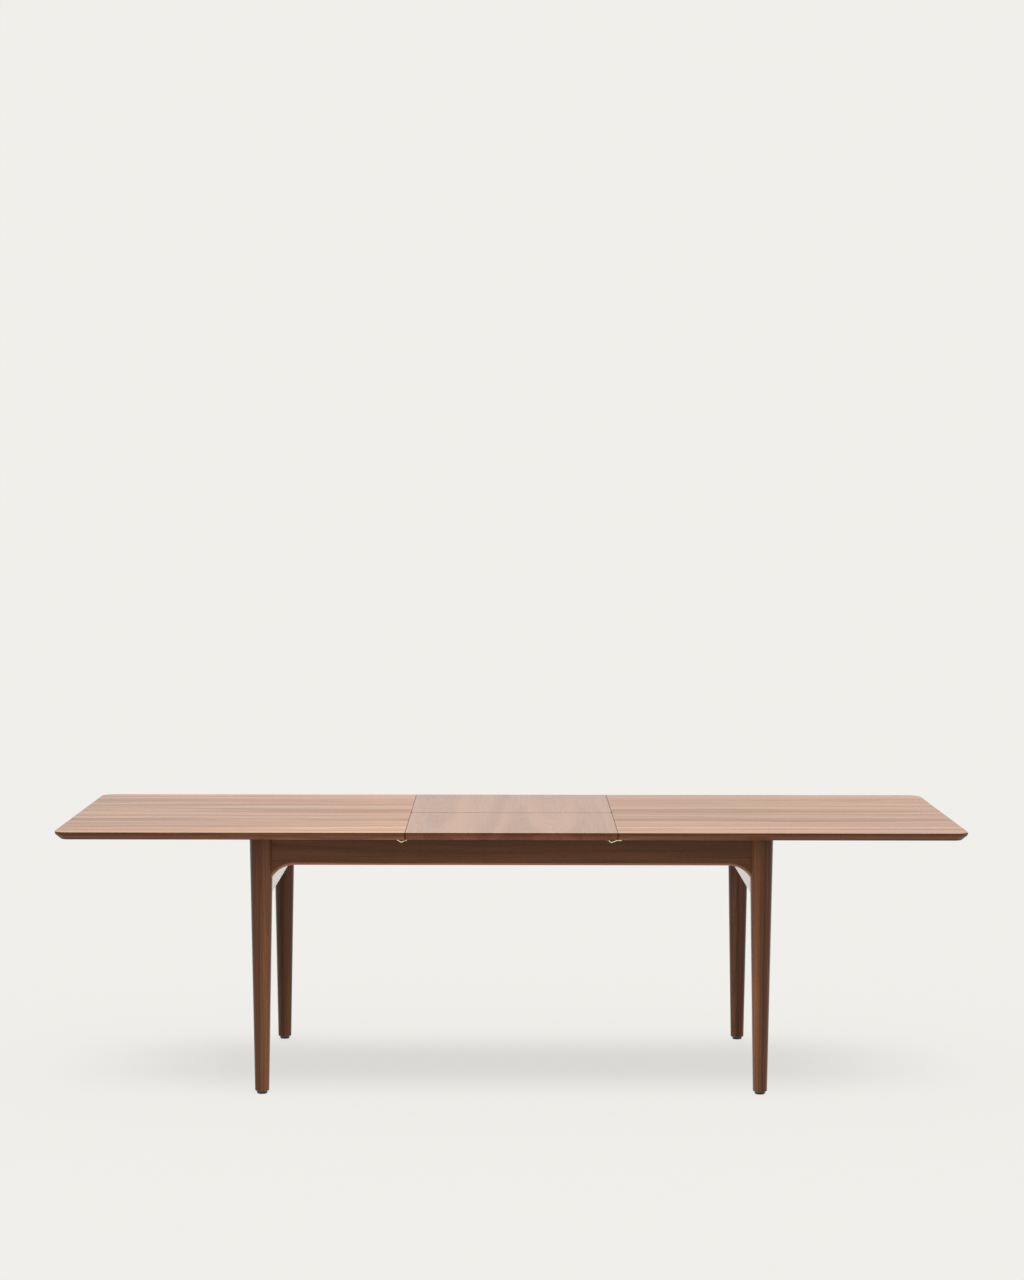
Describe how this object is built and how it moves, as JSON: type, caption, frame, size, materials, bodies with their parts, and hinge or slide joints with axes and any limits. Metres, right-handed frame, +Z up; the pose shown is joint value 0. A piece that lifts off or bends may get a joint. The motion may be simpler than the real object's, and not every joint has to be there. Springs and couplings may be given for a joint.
{
  "type": "extending dining table",
  "caption": "Rectangular extending dining table with sliding top halves, a fold-away centre leaf on swing arms, haunched aprons, low end rails and round tapered legs.",
  "frame": {"origin": "on the floor under the middle of the table", "axes": "+X along the table, +Y towards the rear long side, +Z up"},
  "size_m": [2.6, 1, 0.7674],
  "materials": {
    "walnut_frame": "satin lacquered walnut",
    "walnut_top": "satin lacquered walnut veneer, grain along the table",
    "walnut_leaf": "satin lacquered walnut veneer, grain across the table",
    "beech": "bare sanded beech",
    "black_plastic": "matte",
    "brass": "brushed",
    "bronzed": "dark bronzed",
    "yellow_zinc": "yellow passivated zinc",
    "steel": "bright zinc"
  },
  "bodies": {
    "frame": {"leg_front_left": "walnut_frame", "leg_front_right": "walnut_frame", "leg_rear_left": "walnut_frame", "leg_rear_right": "walnut_frame", "apron_front": "walnut_frame", "apron_rear": "walnut_frame", "end_rail_left": "walnut_frame", "end_rail_right": "walnut_frame", "foot_glides": "black_plastic", "guide_rail_front": "beech", "guide_rail_rear": "beech", "guide_rail_screws": "yellow_zinc", "runner_stops": "beech", "cross_rail_left": "beech", "cross_rail_right": "beech", "shaft_bushes": "brass"},
    "top_left": {"tabletop_left": "walnut_top", "runner_left_front": "beech", "runner_left_rear": "beech", "runner_screws_left": "yellow_zinc", "catch_pivots_left": "bronzed"},
    "top_right": {"tabletop_right": "walnut_top", "runner_right_front": "beech", "runner_right_rear": "beech", "runner_screws_right": "yellow_zinc", "catch_pivots_right": "bronzed"},
    "front_arms": {"front_swing_shaft": "steel", "front_arm_left": "steel", "front_arm_right": "steel", "front_shaft_collars": "steel"},
    "rear_arms": {"rear_swing_shaft": "steel", "rear_arm_left": "steel", "rear_arm_right": "steel", "rear_shaft_collars": "steel"},
    "leaf_front": {"leaf_front_panel": "walnut_leaf", "leaf_arm_brackets": "steel", "leaf_pivot_pins": "steel", "leaf_bracket_screws": "yellow_zinc", "leaf_front_pegs": "bronzed", "fold_hinge_plates_front": "bronzed", "fold_hinge_pins": "bronzed"},
    "leaf_rear": {"leaf_rear_panel": "walnut_leaf", "fold_hinge_plates_rear": "bronzed", "leaf_rear_pegs": "bronzed"},
    "catch_front_left": {"catch_lever_front_left": "yellow_zinc"},
    "catch_front_right": {"catch_lever_front_right": "yellow_zinc"},
    "catch_rear_left": {"catch_lever_rear_left": "yellow_zinc"},
    "catch_rear_right": {"catch_lever_rear_right": "yellow_zinc"}
  },
  "joints": [
    {"name": "slide_left", "type": "slide", "parent": "frame", "child": "top_left", "axis": [-1, 0, 0], "range_m": [0, 0.0165]},
    {"name": "slide_right", "type": "slide", "parent": "frame", "child": "top_right", "axis": [1, 0, 0], "range_m": [0, 0.0165]},
    {"name": "leaf_swing", "type": "hinge", "parent": "frame", "child": "front_arms", "pos_m": [0, -0.27343, 0.67743], "axis": [-1, 0, 0], "range_deg": [0, 135]},
    {"name": "rear_arm_swing", "type": "hinge", "parent": "frame", "child": "rear_arms", "pos_m": [0, -0.07343, 0.67743], "axis": [-1, 0, 0], "range_deg": [0, 135]},
    {"name": "leaf_level", "type": "hinge", "parent": "front_arms", "child": "leaf_front", "pos_m": [0, -0.33, 0.734], "axis": [1, 0, 0], "range_deg": [0, 135]},
    {"name": "leaf_fold", "type": "hinge", "parent": "leaf_front", "child": "leaf_rear", "pos_m": [0, 0, 0.76615], "axis": [1, 0, 0], "range_deg": [0, 180]},
    {"name": "catch_turn_front_left", "type": "hinge", "parent": "top_left", "child": "catch_front_left", "pos_m": [-0.336, -0.466, 0.741], "axis": [0, 0, -1], "range_deg": [-66, 24]},
    {"name": "catch_turn_front_right", "type": "hinge", "parent": "top_right", "child": "catch_front_right", "pos_m": [0.309, -0.466, 0.741], "axis": [0, 0, 1], "range_deg": [-66, 24]},
    {"name": "catch_turn_rear_right", "type": "hinge", "parent": "top_right", "child": "catch_rear_right", "pos_m": [0.336, 0.466, 0.741], "axis": [0, 0, -1], "range_deg": [-66, 24]},
    {"name": "catch_turn_rear_left", "type": "hinge", "parent": "top_left", "child": "catch_rear_left", "pos_m": [-0.309, 0.466, 0.741], "axis": [0, 0, 1], "range_deg": [-66, 24]}
  ],
  "couplings": [
    {"joint": "rear_arm_swing", "follows": "leaf_swing", "ratio": 1},
    {"joint": "leaf_level", "follows": "leaf_swing", "ratio": 1},
    {"joint": "leaf_fold", "follows": "leaf_swing", "ratio": 1.3333}
  ]
}
